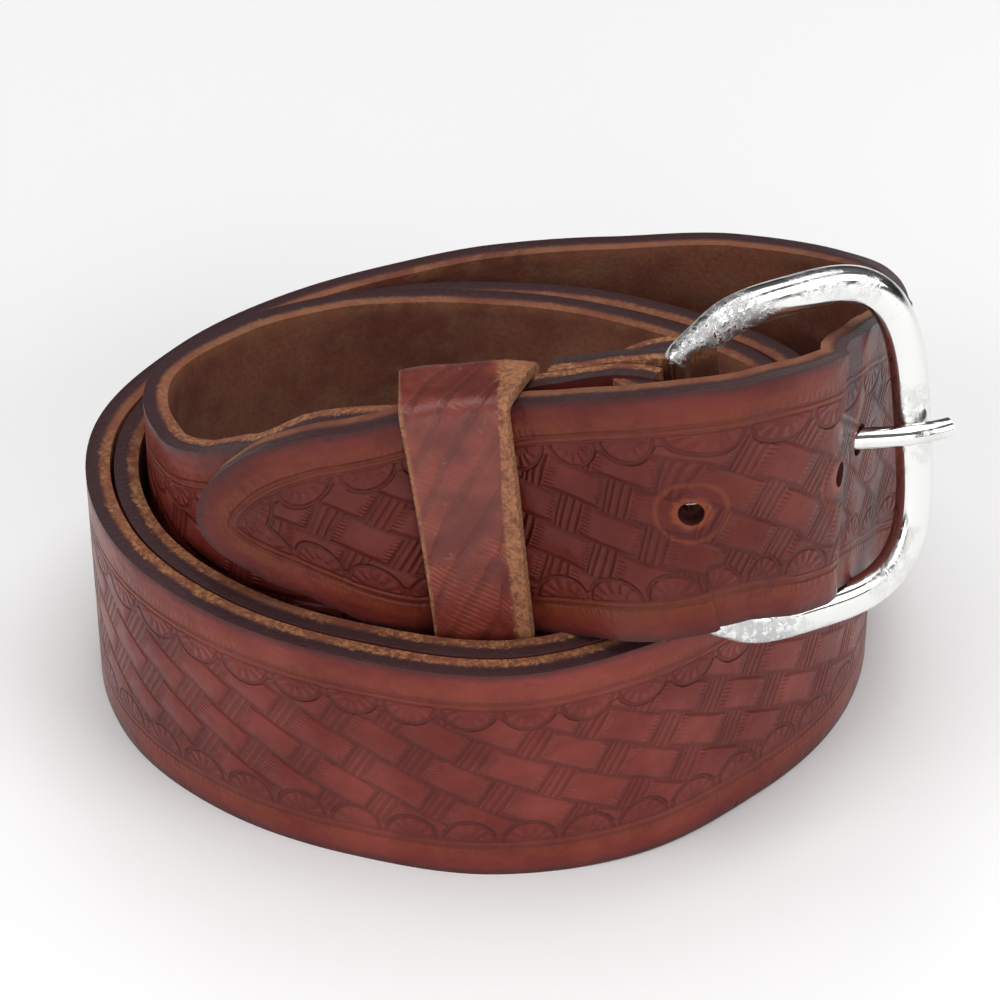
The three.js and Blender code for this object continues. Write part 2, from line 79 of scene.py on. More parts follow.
# turn: turns from the front, clockwise; plies: how far inside the outline; lift: height of the lower
# edge in strap widths; lean: degrees that the upper edge leans in
ROUTE = np.array([
    # turn, plies, lift, lean
    (-0.081, 0.25, 1.102, 14.5), (-0.067, 1.42, 1.076, 7.5),
    (-0.055, 2.12, 1.034, 4), (-0.04, 2.87, 0.982, 2),
    (-0.02, 3.48, 0.929, 1), (0, 3.80, 0.903, 0),
    (0.02, 3.81, 0.877, 0), (0.05, 3.52, 0.835, 0),
    (0.08, 3.53, 0.761, 2), (0.11, 3.15, 0.625, 3),
    (0.145, 2.83, 0.459, 3), (0.19, 2.41, 0.328, 2),
    (0.25, 2.20, 0.244, 0), (0.3125, 2.10, 0.163, 0),
    (0.375, 2.05, 0.094, 0), (0.4375, 2.52, 0.052, 0),
    (0.5, 3.53, 0.034, 0), (0.5625, 4.05, 0.013, 0),
    (0.625, 4.72, 0.000, 0), (0.6875, 4.15, 0.000, 0),
    (0.75, 2.40, 0.000, 0), (0.8125, 1.65, 0.003, 2),
    (0.875, 1.57, 0.005, 4.2), (0.9375, 0.88, 0.004, 3),
    (1, 0.47, 0.000, 0), (1.0625, 0.85, 0.000, 0),
    (1.125, 1.00, 0.000, 0), (1.1875, 1.00, 0.000, 0),
    (1.25, 1.07, 0.000, 0), (1.3125, 1.03, 0.000, 0),
    (1.375, 1.00, 0.000, 0), (1.4375, 1.47, 0.000, 0),
    (1.5, 2.47, 0.000, 0), (1.5625, 3.03, 0.000, 0),
    (1.625, 3.65, 0.000, 0), (1.6875, 3.05, 0.000, 0),
    (1.75, 0.95, 0.000, 0), (1.8125, 0.60, 0.003, 2),
    (1.875, 0.47, 0.005, 3.6), (1.9375, -0.13, 0.004, 2.8),
    (2, -0.53, 0.000, 0), (2.0625, -0.15, 0.000, 0),
    (2.125, 0.00, 0.000, 0), (2.1875, 0.00, 0.000, 0),
    (2.25, 0.00, 0.000, 0), (2.3125, 0.00, 0.000, 0),
    (2.375, 0.00, 0.000, 0), (2.4375, 0.00, 0.000, 0),
    (2.5, 0.00, 0.008, 0), (2.5625, 0.00, 0.052, 0),
    (2.625, 0.00, 0.171, 1), (2.6875, 0.00, 0.354, 4),
    (2.72, -0.05, 0.486, 5), (2.75, -0.17, 0.617, 6),
    (2.778, -0.26, 0.740, 7), (2.8, -0.10, 0.835, 5.2),
    (2.82, -0.24, 0.924, 4.7), (2.847, -0.81, 1.034, 3.3),
    (2.865, -1.46, 1.087, 5.5), (2.882, -1.61, 1.144, 6),
    (2.9, -1.53, 1.181, 6), (2.918, -1.22, 1.186, 7),
    (2.934, -0.46, 1.139, 6.5), (2.955, 0.86, 1.055, 4),
    (2.965, 1.43, 1.024, 2), (2.975, 1.91, 0.992, 1),
    (2.987, 2.31, 0.966, 0.3), (3, 2.58, 0.948, 0),
    (3.03, 2.56, 0.940, 0), (3.052, 2.19, 0.934, 0),
    (3.076, 1.92, 0.929, 0), (3.096, 1.78, 0.908, 0),
    (3.121, 1.47, 0.845, 0), (3.142, 1.03, 0.772, 0),
])
TURN, PLIES, LIFT, LEAN = ROUTE.T
print("rows in the route:", len(ROUTE), " turns:", round(TURN[-1] - TURN[0], 3))

# %% [markdown]
# ## Camera, light and floor
# The picture looks down on the belt at 39 degrees from a good half metre away. A long lens
# keeps the coil from flaring. The light is a big soft panel above, one at each side and one in
# front, inside a tent that is white overhead and dims toward the nearly white floor.

# %% Camera
def deselect():
    bpy.ops.object.select_all(action="DESELECT")

def select(first, *others):
    """Selects these pieces and no others. The first is the active one."""
    deselect()
    for piece in (first, *others):
        piece.select_set(True)
    bpy.context.view_layer.objects.active = first

SHIFT = np.array([-0.848, 3.039, 0.0])  # centres the belt on the origin, seen from above
STAND_BACK, EYE_HEIGHT, LOOK_DOWN, LENS = 469.0, 405.0, 39, 144
camera_at = (SHIFT + np.array([0.0, -STAND_BACK, EYE_HEIGHT])) * MM
deselect()
bpy.ops.object.camera_add(location=camera_at, rotation=(math.radians(90 - LOOK_DOWN), 0, 0))
camera = bpy.context.object
camera.name = "camera"
camera.data.sensor_width, camera.data.lens = 36, LENS
camera.data.clip_start, camera.data.clip_end = 0.01, 20
bpy.context.scene.camera = camera
print("camera at", [round(v, 3) for v in camera_at])

# %% Floor and light
deselect()
bpy.ops.mesh.primitive_grid_add(size=6, x_subdivisions=2, y_subdivisions=2, location=(0, 0, 0))
floor = bpy.context.object
floor.name = "floor"
paper = bpy.data.materials.new("paper floor")
paper.use_nodes = True
shader = paper.node_tree.nodes["Principled BSDF"]
shader.inputs["Base Color"].default_value = (0.96, 0.96, 0.96, 1)
shader.inputs["Roughness"].default_value = 0.9
floor.data.materials.append(paper)

BELT_MIDDLE = Vector((0, 0, 0.04))
def soft_light(name, at, size, power):
    """A square panel of light at a place, turned to the belt."""
    deselect()
    bpy.ops.object.light_add(type="AREA", location=at)
    lamp = bpy.context.object
    lamp.name = name
    lamp.data.shape, lamp.data.size = "SQUARE", size
    lamp.data.energy = power
    lamp.rotation_euler = (BELT_MIDDLE - Vector(at)).to_track_quat("-Z", "Y").to_euler()

soft_light("top panel", (0.1, 0.15, 1.1), 1.0, 9)
soft_light("left panel", (-0.9, -0.5, 0.6), 0.7, 4.4)
soft_light("right panel", (0.9, -0.6, 0.5), 0.7, 5)
soft_light("front panel", (0.1, -1.0, 0.35), 0.6, 3)

# the tent is white overhead and dim near the floor, which gives the chrome its dark lines
world = bpy.data.worlds.new("light tent")
bpy.context.scene.world = world
world.use_nodes = True
sky = world.node_tree
place = sky.nodes.new("ShaderNodeTexCoord")
split = sky.nodes.new("ShaderNodeSeparateXYZ")
ramp = sky.nodes.new("ShaderNodeMapRange")
for name, value in (("From Min", 0.05), ("From Max", 0.75), ("To Min", 0.4), ("To Max", 3.0)):
    ramp.inputs[name].default_value = value
sky.links.new(place.outputs["Generated"], split.inputs["Vector"])
sky.links.new(split.outputs["Z"], ramp.inputs["Value"])
sky.links.new(ramp.outputs["Result"], sky.nodes["Background"].inputs["Strength"])
bpy.context.scene.view_settings.view_transform = "Standard"

# %% [markdown]
# ## The route as a curve
# Each cross-section of the strap has a middle, a direction along, a direction up its width and one
# out of its grain side. Smooth curves through the table's rows give them for any place.

# %% Where a section of the strap stands
def unit(v):
    return v / np.linalg.norm(v)

def outline_at(turn):
    """Reach of the outermost wrap: a smooth curve through the outline's shares."""
    s = (turn % 1) * len(OUTLINE)
    i, f = int(s), s % 1
    a, b, c, d = (OUTLINE[(i + k) % len(OUTLINE)] for k in (-1, 0, 1, 2))
    return REACH * (b + 0.5 * f * (c - a + f * (2 * a - 5 * b + 4 * c - d + f * (3 * (b - c) + d - a))))

def smooth_slopes(column):
    """Slope at each row, flat at a peak or a dip so that the curve doesn't overshoot."""
    step = np.diff(column) / np.diff(TURN)
    a, b = step[:-1], step[1:]
    inner = np.where(a * b > 0, 2 * a * b / np.where(a + b == 0, 1, a + b), 0)
    return np.concatenate([step[:1], inner, step[-1:]])

COLUMNS = {"plies": PLIES, "lift": LIFT, "lean": LEAN}
SLOPES = {name: smooth_slopes(column) for name, column in COLUMNS.items()}

def route_at(turn, name):
    """A column's value at any turn, by a cubic between two rows."""
    col, slope = COLUMNS[name], SLOPES[name]
    i = int(np.clip(np.searchsorted(TURN, turn, side="right") - 1, 0, len(TURN) - 2))
    w = TURN[i + 1] - TURN[i]
    f = (turn - TURN[i]) / w
    return (col[i] * (1 + 2 * f) * (1 - f) ** 2 + w * slope[i] * f * (1 - f) ** 2
            + col[i + 1] * f * f * (3 - 2 * f) + w * slope[i + 1] * f * f * (f - 1))

def middle_at(turn):
    a, lean = turn * 2 * math.pi, math.radians(route_at(turn, "lean"))
    r = outline_at(turn) - route_at(turn, "plies") * PLY - STRAP_THICK / 2
    z = STRAP_WIDTH * (route_at(turn, "lift") + math.cos(lean) / 2)
    return np.array([-math.sin(a) * r, -math.cos(a) * r, z])

NEAR = 0.002  # turns, to take a direction from
def section_at(turn):
    """Middle of the strap's section, and its directions along, up and out."""
    at = middle_at(turn)
    along = unit(middle_at(turn + NEAR) - middle_at(turn - NEAR))
    lean = math.radians(route_at(turn, "lean"))
    inward = unit(np.array([along[1], -along[0], 0]))
    up = np.array([0, 0, math.cos(lean)]) + inward * math.sin(lean)
    up = unit(up - along * up.dot(along))
    return at, along, up, np.cross(up, along)

STEPS_A_TURN = 720
turns = np.append(np.arange(TURN[0], TURN[-1], 1 / STEPS_A_TURN), TURN[-1])
middles = np.array([middle_at(t) for t in turns])
runs = np.concatenate([[0], np.cumsum(np.linalg.norm(np.diff(middles, axis=0), axis=1))])
TOTAL_RUN = runs[-1]

def run_at(turn):
    """Length of strap, in millimetres, from the heel bar to a turn."""
    return float(np.interp(turn, turns, runs))

def turn_at(run):
    return float(np.interp(run, runs, turns))

print("strap from heel bar to tip:", round(TOTAL_RUN), "mm")

# %% The buckle's own axes
yaw, lean, slope = (math.radians(v) for v in (BUCKLE_YAW, BUCKLE_LEAN, BUCKLE_SLOPE))
frame_along = np.array([math.cos(yaw) * math.cos(slope), math.sin(yaw) * math.cos(slope),
                        -math.sin(slope)])
frame_in = np.array([-math.sin(yaw), math.cos(yaw), 0])
frame_up = np.array([0, 0, math.cos(lean)]) + frame_in * math.sin(lean)
frame_up = unit(frame_up - frame_along * frame_up.dot(frame_along))
frame_out = np.cross(frame_along, frame_up)

def ease_to_bar(section, run):
    """Near the heel bar the strap stands along it."""
    at, along, up, out = section
    share = max(0, 1 - run / EASE)
    share = share * share * (3 - 2 * share)
    up = unit(up + (frame_up - up) * share)
    return at, along, up, unit(out - up * out.dot(up))

BEND = BAR_DIA / 2 + BAR_FIT + STRAP_THICK / 2  # radius of the strap's middle round the bar
bar_section = ease_to_bar(section_at(TURN[0]), 0)
bar_out, bar_along = bar_section[3], np.cross(bar_section[2], bar_section[3])
bar_at = bar_section[0] - bar_out * BEND

def in_buckle(a, u, n):
    """A point in the scene, in metres, from the buckle's own millimetres."""
    return (bar_at + frame_along * a + frame_up * u + frame_out * n + SHIFT) * MM

# %% [markdown]
# ## The strap
# The real strap is cut from one hide and folded round the heel bar. Here a flat grid is the strip:
# one row of vertices for each place along it, and twenty faces across it. Each row is laid on its
# section of the route, so the grid becomes the grain side. Solidify gives it the leather's
# thickness and Bevel rounds its burnished edges. The flat places are kept as a map, so that the
# tooling can follow the strap round.

# %% The places along the strap
BACK, BEND_STEPS, TIP_STEPS = 12, 16, 40
ROW_STEP, TIP_CROWD = 1.7, 1.7  # millimetres between rows, and a power that brings them close at the point
stations = []  # run, middle, up, out, half width
bend_length = math.pi * BEND
for k in range(BACK, 0, -1):
    run = k / BACK * TURN_BACK
    at, along, up, out = ease_to_bar(section_at(turn_at(run)), run)
    # the doubled end closes up on the strap behind the bar
    spread = PLY + (2 * BEND - PLY) * math.exp(-((run / (TURN_BACK / 3)) ** 2))
    stations.append((-run - bend_length, at - out * spread, up, -out, STRAP_WIDTH / 2))
for k in range(BEND_STEPS):
    a = (k / BEND_STEPS - 0.5) * math.pi
    out = bar_out * math.sin(a) - bar_along * math.cos(a)
    stations.append(((k / BEND_STEPS - 1) * bend_length, bar_at + out * BEND, bar_section[2], out,
                     STRAP_WIDTH / 2))
body = np.arange(0, TOTAL_RUN - TIP_LENGTH, ROW_STEP)
tip = TOTAL_RUN - TIP_LENGTH * (1 - np.linspace(0, 1, TIP_STEPS)) ** TIP_CROWD
for run in np.concatenate([body, tip]):
    at, along, up, out = ease_to_bar(section_at(turn_at(run)), run)
    left = max(TOTAL_RUN - run, 0)
    half = STRAP_WIDTH / 2 if left > TIP_LENGTH else max(
        STRAP_WIDTH / 2 * math.sqrt(left / TIP_LENGTH), TIP_BLUNT)
    stations.append((run, at, up, out, half))
print("stations:", len(stations))

# %% A flat grid, laid along the route
ACROSS = 20
def add_grid(name, rows, columns):
    deselect()
    bpy.ops.mesh.primitive_grid_add(x_subdivisions=rows - 1, y_subdivisions=columns, size=2)
    piece = bpy.context.object
    piece.name = piece.data.name = name
    return piece

strap = add_grid("tooled_strap", len(stations), ACROSS)
flat = np.array([v.co[:] for v in strap.data.vertices])
row = np.rint((flat[:, 0] + 1) / 2 * (len(stations) - 1)).astype(int)
run_of = np.array([s[0] for s in stations])[row]
half_of = np.array([s[4] for s in stations])[row]
across_of = flat[:, 1] * half_of
middle = np.array([s[1] for s in stations])[row]
up_of = np.array([s[2] for s in stations])[row]
out_of = np.array([s[3] for s in stations])[row]
wound = (middle + out_of * STRAP_THICK / 2 + up_of * across_of[:, None] + SHIFT) * MM
strap.data.vertices.foreach_set("co", wound.ravel())

# distance of each vertex from the strap's edge, with the pointed tip's outline counted
left = np.linspace(0, TIP_LENGTH, 160)
tip_line = np.stack([left, STRAP_WIDTH / 2 * np.sqrt(left / TIP_LENGTH)], axis=1)
edge_of = STRAP_WIDTH / 2 - abs(across_of)
near_tip = TOTAL_RUN - run_of < TIP_LENGTH + STRAP_WIDTH / 2
for i in np.nonzero(near_tip)[0]:
    place = np.array([TOTAL_RUN - run_of[i], abs(across_of[i])])
    reach = np.linalg.norm(tip_line - place, axis=1).min()
    edge_of[i] = min(edge_of[i], reach)

def write_map(piece, name, u, v):
    """Stores two numbers of each vertex as a UV map."""
    layer = piece.data.uv_layers.get(name) or piece.data.uv_layers.new(name=name)
    corner = np.empty(len(piece.data.loops), dtype=int)
    piece.data.loops.foreach_get("vertex_index", corner)
    layer.data.foreach_set("uv", np.stack([u[corner], v[corner]], axis=1).ravel())

def clear_maps(piece):
    """Takes away the maps that a primitive comes with."""
    for layer in list(piece.data.uv_layers):
        piece.data.uv_layers.remove(layer)

clear_maps(strap)
write_map(strap, "flat", run_of * MM, across_of * MM)
write_map(strap, "edge", edge_of * MM, np.zeros(len(edge_of)))
strap.data.update()
strap.data.flip_normals()  # wound this way, the grid would show its back
print("grid faces:", len(strap.data.polygons))

# %% Thickness, rounded edges
def use(piece, kind, **settings):
    """Adds a modifier, sets it and applies it."""
    select(piece)
    modifier = piece.modifiers.new(kind.lower(), kind)
    for key, value in settings.items():
        setattr(modifier, key, value)
    bpy.ops.object.modifier_apply(modifier=modifier.name)

def add_slots(piece):
    """A place for the leather of the outer side, and one for the inner side with the cut edge."""
    for _ in range(2):
        piece.data.materials.append(None)

add_slots(strap)
before = len(strap.data.vertices)
use(strap, "SOLIDIFY", thickness=STRAP_THICK * MM, offset=-1, use_quality_normals=True,
    material_offset=1, material_offset_rim=1)
# the second number of the edge map is the depth in the leather: 0 on the grain side, 1 on the flesh side
depth = np.zeros(len(strap.data.vertices))
depth[before:] = 1
corner = np.empty(len(strap.data.loops), dtype=int)
strap.data.loops.foreach_get("vertex_index", corner)
values = np.empty(len(corner) * 2)
strap.data.uv_layers["edge"].data.foreach_get("uv", values)
values = values.reshape(-1, 2)
values[:, 1] = depth[corner]
strap.data.uv_layers["edge"].data.foreach_set("uv", values.ravel())
use(strap, "BEVEL", width=EDGE_ROUND * MM, segments=3, limit_method="ANGLE",
    angle_limit=math.radians(50), loop_slide=False, harden_normals=False)
print("strap faces:", len(strap.data.polygons))

# %% [markdown]
# ## Holes and the slot for the prong
# The holes are punched square to the leather. The fold at the heel bar has a slot that lets
# the prong's ring go round the bar, and the hole in use is drawn long by the prong.

# %% Punches
def add_punch(middle, along, radius, length):
    deselect()
    bpy.ops.mesh.primitive_cylinder_add(vertices=24, radius=radius * MM, depth=length * MM)
    punch = bpy.context.object
    turned = Vector((0, 0, 1)).rotation_difference(Vector(along)).to_matrix().to_4x4()
    punch.data.transform(Matrix.Translation(Vector((middle + SHIFT) * MM)) @ turned)
    return punch

hole_runs = [run_at(TONGUE_TURN) + distance for distance in HOLES]
punches = []
for run in hole_runs:
    at, along, up, out = section_at(turn_at(run))
    punches.append(add_punch(at, out, HOLE_DIA / 2 * HOLE_OPEN, STRAP_THICK * 2))
OUTER_BAR = FRAME_LENGTH - HEEL - FRAME_BAND / 2
REST = FRAME_THICK / 2 + 1.5 * FIT + TONGUE_DIA / 2
# out and height of the prong, as shares of the outer bar's distance and of its rest height
TONGUE_LINE = [(0.09, 0), (0.3, -0.3), (0.55, -0.6), (0.7, -0.4), (0.84, 0.45), (1.0, 1), (1.1, 1)]
def prong_at(share):
    outs, heights = np.array(TONGUE_LINE).T
    return bar_at + frame_along * share * OUTER_BAR + frame_out * np.interp(share, outs, heights) * REST

# the hole in use is cut along the prong's rise
punches.append(add_punch((prong_at(0.6) + prong_at(0.95)) / 2, unit(prong_at(0.9) - prong_at(0.68)),
                         TONGUE_DIA / 2 + PRONG_ROOM, 15))
deselect()
slot_top = BEND + STRAP_THICK / 2 + 0.2
bpy.ops.mesh.primitive_cube_add(size=1)
slot_box = bpy.context.object
size = Matrix.Diagonal(((SLOT_START + slot_top) * MM, (TONGUE_DIA + 2 * FIT) * MM, 2 * slot_top * MM, 1))
axes = Matrix([list(v) for v in np.stack([frame_along, frame_up, frame_out], axis=1)]).to_4x4()
slot_middle = Vector(in_buckle((slot_top - SLOT_START) / 2, 0, 0))
slot_box.data.transform(Matrix.Translation(slot_middle) @ axes @ size)
punches.append(slot_box)
select(*punches)
bpy.ops.object.join()
punch = bpy.context.object
use(strap, "BOOLEAN", operation="DIFFERENCE", object=punch, solver="MANIFOLD")
bpy.data.objects.remove(punch)
print("strap faces after punching:", len(strap.data.polygons))

# %% [markdown]
# ## The leather
# Vegetable tanned leather is dyed a red brown, and stamped while damp. The lines of the stamps are
# finer than a modelled face, so they are a height worked out from the flat map: a basket weave
# laid on the slant, a border of shells, and a double crease along the edge. The same height
# drives both the bump and the darker dye that stays in the hollows.

# %% Arithmetic with nodes
class Field:
    """A number that varies over the surface, worked out by Math nodes."""
    def __init__(self, tree, source):
        self.tree, self.source = tree, source

    def math(self, operation, *others):
        node = self.tree.nodes.new("ShaderNodeMath")
        node.operation = operation
        for i, value in enumerate((self,) + others):
            if isinstance(value, Field):
                self.tree.links.new(value.source, node.inputs[i])
            else:
                node.inputs[i].default_value = value
        return Field(self.tree, node.outputs[0])

    def __add__(self, other):
        return self.math("ADD", other)

    def __sub__(self, other):
        return self.math("SUBTRACT", other)

    def __rsub__(self, other):
        return (self * -1) + other

    def __mul__(self, other):
        return self.math("MULTIPLY", other)

    def abs(self):
        return self.math("ABSOLUTE")

    def floor(self):
        return self.math("FLOOR")

    def fract(self):
        return self.math("FRACT")

    def least(self, other):
        return self.math("MINIMUM", other)

    def most(self, other):
        return self.math("MAXIMUM", other)

    def wave(self, pitch):
        """From -1 to 1 and back over each pitch."""
        return (self * (2 * math.pi / pitch)).math("COSINE")

    def step(self, low, high):
        """0 below low, 1 above high, and smooth between them."""
        node = self.tree.nodes.new("ShaderNodeMapRange")
        node.interpolation_type = "SMOOTHSTEP"
        self.tree.links.new(self.source, node.inputs["Value"])
        rising = high > low
        node.inputs["From Min"].default_value = low if rising else high
        node.inputs["From Max"].default_value = high if rising else low
        node.inputs["To Min"].default_value = 0 if rising else 1
        node.inputs["To Max"].default_value = 1 if rising else 0
        return Field(self.tree, node.outputs["Result"])

def new_material(name):
    material = bpy.data.materials.new(name)
    material.use_nodes = True
    return material, material.node_tree, material.node_tree.nodes["Principled BSDF"]

def read_map(tree, name):
    """The two numbers of a UV map: the first in millimetres, the second as it is kept."""
    node = tree.nodes.new("ShaderNodeUVMap")
    node.uv_map = name
    split = tree.nodes.new("ShaderNodeSeparateXYZ")
    tree.links.new(node.outputs["UV"], split.inputs["Vector"])
    return Field(tree, split.outputs["X"]) * 1000, Field(tree, split.outputs["Y"])

def noise(tree, size, detail=3, rough=0.55, stretch=(1, 1, 1), seed=0):
    """Blotches of a size in millimetres, from 0 to 1."""
    place = tree.nodes.new("ShaderNodeTexCoord")
    mapping = tree.nodes.new("ShaderNodeMapping")
    mapping.inputs["Scale"].default_value = [1000 / size * s for s in stretch]
    mapping.inputs["Location"].default_value = (seed, seed * 0.7, seed * 0.3)
    tree.links.new(place.outputs["Object"], mapping.inputs["Vector"])
    node = tree.nodes.new("ShaderNodeTexNoise")
    node.inputs["Scale"].default_value = 1
    node.inputs["Detail"].default_value = detail
    node.inputs["Roughness"].default_value = rough
    tree.links.new(mapping.outputs["Vector"], node.inputs["Vector"])
    return Field(tree, node.outputs["Fac"])

def place_along(tree, axis):
    """Place along one axis of the object's own space, in millimetres."""
    node = tree.nodes.new("ShaderNodeTexCoord")
    split = tree.nodes.new("ShaderNodeSeparateXYZ")
    tree.links.new(node.outputs["Object"], split.inputs["Vector"])
    return Field(tree, split.outputs[axis]) * 1000

def tint(tree, share, low, high):
    """Colour between low and high by a share."""
    node = tree.nodes.new("ShaderNodeMix")
    node.data_type = "RGBA"
    tree.links.new(share.source, node.inputs["Factor"])
    for socket, value in (("A", low), ("B", high)):
        target = [s for s in node.inputs if s.name == socket and s.type == "RGBA"][0]
        if hasattr(value, "is_output"):
            tree.links.new(value, target)
        else:
            target.default_value = (*value, 1)
    return [s for s in node.outputs if s.type == "RGBA"][0]

def set_relief(tree, shader, height):
    """Height in millimetres, as bump."""
    bump = tree.nodes.new("ShaderNodeBump")
    bump.inputs["Strength"].default_value = 1
    bump.inputs["Distance"].default_value = 1
    tree.links.new((height * MM).source, bump.inputs["Height"])
    tree.links.new(bump.outputs["Normal"], shader.inputs["Normal"])

# %% The stamps
WEAVE_SLANT, WEAVE_PITCH, WEAVE_ROW = 27.0, 12.6, 5.6
WEAVE_HATCH, CROSS_SHARE = 0.66, 0.27  # pitch of the fine lines; share of the pitch that crosses over
def basket_weave(s, v):
    """Height of the basket stamp, in millimetres, at a run and a place across the strap.

    A row holds long strands, each with a crown along its middle and fine lines at both ends. Between
    two strands three short ridges cross over. Every second row is shifted by half a pitch.
    """
    a = math.radians(WEAVE_SLANT)
    p, q = s * math.cos(a) + v * math.sin(a), v * math.cos(a) - s * math.sin(a)
    line = (q * (1 / WEAVE_ROW)).floor()
    y = q * (1 / WEAVE_ROW) - line
    shift = (line * 0.5).fract()
    x = (p * (1 / WEAVE_PITCH) + shift).fract()
    rim = (y - 0.5).abs()
    strand = rim.step(0.5, 0.36) * x.step(0.0, 0.05) * x.step(0.74, 0.69)
    crown = (rim * rim) * -0.9 + 0.5
    hatch = (q.wave(WEAVE_HATCH) * 0.5 + 0.5) * (x.step(0.13, 0.06) + x.step(0.57, 0.65))
    cross = x.step(0.69, 0.73) * x.step(1.0, 0.96)
    ridges = x.wave(CROSS_SHARE / 3) * 0.5 + 0.5
    return strand * (crown - hatch * 0.16) + cross * (ridges * 0.34 + 0.1)

SHELL_PITCH, SHELL_REACH, SHELL_RAYS, CREASE = 8.2, 4.0, 13, 6.4
def shell_border(s, inward):
    """Height of the border of shells, and where they lie; inward is the distance from the crease."""
    dx = ((s * (1 / SHELL_PITCH)).fract() - 0.5) * SHELL_PITCH
    reach = (dx * dx + inward * inward).math("SQRT")
    lines = (dx.math("ARCTAN2", inward + 0.4) * SHELL_RAYS).math("COSINE") * 0.5 + 0.5
    fan = lines * reach.step(1.4, 1.9) * reach.step(3.6, 3.1)
    rib = (reach - SHELL_REACH + 0.3).abs().step(0.5, 0.1)
    return fan * 0.2 - rib * 0.2 + 0.1, reach.step(SHELL_REACH + 0.2, SHELL_REACH - 0.2)

# %% The grain side of the strap
GRAIN_DEEP, GRAIN, GRAIN_PALE = (0.045, 0.006, 0.004), (0.135, 0.0165, 0.012), (0.225, 0.041, 0.031)
ORANGE, BURNISH, STAIN = (0.27, 0.062, 0.022), (0.045, 0.016, 0.018), (0.06, 0.05, 0.058)
TAN, TAN_DARK = (0.42, 0.18, 0.075), (0.14, 0.05, 0.025)
BILLET_TURN = 2.6  # the free end is darker and more polished from here on
# second crease in from the edge, pitch of its ticks, and how far past the hole in use the stain lies
OUTER_CREASE, TICK_PITCH, STAIN_AWAY = 5.3, 0.95, 16.0

grain_leather, tree, shader = new_material("tooled grain")
s, v = read_map(tree, "flat")
v = v * 1000
e = read_map(tree, "edge")[0]
border, in_shell = shell_border(s, e - CREASE)
in_border = e.step(CREASE - 0.1, CREASE + 0.3) * in_shell
in_weave = e.step(CREASE + 1.2, CREASE + 1.7) * (1 - in_shell)
rough_rim = noise(tree, 1.2, 2) * 1.2

def hole_marks(run):
    """The ring pressed round a hole, and the pale leather at its mouth."""
    ahead = s - run
    away = (ahead * ahead + v * v).math("SQRT")
    rim = (away + rough_rim).step(HOLE_RIM + 0.4, HOLE_RIM - 0.4)
    return (away - HOLE_RING).abs().step(0.6, 0.1), rim

hole_ring, hole_rim = hole_marks(run_at(TONGUE_TURN))
for run in hole_runs:
    ring, rim = hole_marks(run)
    hole_ring, hole_rim = hole_ring + ring, hole_rim + rim
crease = (e - OUTER_CREASE).abs().step(0.55, 0.12) + (e - CREASE).abs().step(0.4, 0.1) * 0.6
ticks = (s.wave(TICK_PITCH) * 0.5 + 0.5) * e.step(3.6, 4.2) * e.step(5.4, 4.9)
weave = basket_weave(s, v)
pores = noise(tree, 0.9, 4, 0.6)
wrinkle = noise(tree, 5.0, 3, 0.6)
mottle = noise(tree, 3.2, 3, 0.6, seed=7)
tooling = in_weave * weave + in_border * border - crease * 0.22 - ticks * 0.05 - hole_ring * 0.16
set_relief(tree, shader, tooling + pores * 0.06 + mottle * 0.12 + wrinkle * 0.3)
blotch = noise(tree, 16, 4, 0.6, seed=3)
billet = s.step(run_at(BILLET_TURN - 0.25), run_at(BILLET_TURN))
hollow = in_weave * (weave * -2.4 + 0.8) + in_border * (border * -2.2 + 0.5) + crease * 0.5
hollow = hollow.most(0.0).least(1.0)
warm_band = e.step(2.0, 3.4) * e.step(6.6, 5.6) * mottle.step(0.3, 0.7)
colour = tint(tree, blotch.step(0.35, 0.7), GRAIN, GRAIN_PALE)
colour = tint(tree, warm_band * (billet * 0.4 + 0.35), colour, ORANGE)
colour = tint(tree, hollow * 0.62, colour, GRAIN_DEEP)
colour = tint(tree, mottle.step(0.5, 0.85) * 0.35, colour, GRAIN_DEEP)
colour = tint(tree, billet * 0.42, colour, GRAIN_DEEP)
colour = tint(tree, hole_ring * 0.3 + hole_rim * 0.6, colour, ORANGE)
colour = tint(tree, (e + mottle * 1.4).step(2.4, 0.8) * 0.75, colour, BURNISH)
stain_run = run_at(TONGUE_TURN) + STAIN_AWAY
stain = (s + wrinkle * 6 - stain_run).abs().step(2.6, 0.6) * mottle.step(0.3, 0.5)
colour = tint(tree, stain * 0.8, colour, STAIN)
tree.links.new(colour, shader.inputs["Base Color"])
gloss = mottle * 0.24 + hollow * 0.14 + 0.2
tree.links.new(gloss.source, shader.inputs["Roughness"])
shader.inputs["Specular IOR Level"].default_value = 0.2
shader.inputs["Specular Tint"].default_value = (1, 0.86, 0.82, 1)
shader.inputs["Coat Weight"].default_value = 0.05
shader.inputs["Coat Roughness"].default_value = 0.28

# %% The flesh side and the cut edge
FLESH_DARK, FLESH, FLESH_PALE = (0.16, 0.042, 0.025), (0.28, 0.095, 0.052), (0.26, 0.13, 0.07)
FLESH_FIBRE = (0.07, 0.025, 0.015)

flesh_leather, tree, shader = new_material("flesh side and edge")
s = read_map(tree, "flat")[0]
e, depth_in = read_map(tree, "edge")
fibre = noise(tree, 0.7, 4, 0.7)
patch = noise(tree, 6, 4, 0.65, seed=2)
cloud = noise(tree, 22, 3, 0.6, seed=5)
colour = tint(tree, cloud.step(0.35, 0.65), FLESH_DARK, FLESH)
colour = tint(tree, patch.step(0.42, 0.7) * 0.6, colour, FLESH_PALE)
colour = tint(tree, fibre.step(0.35, 0.7) * 0.4, colour, FLESH_FIBRE)
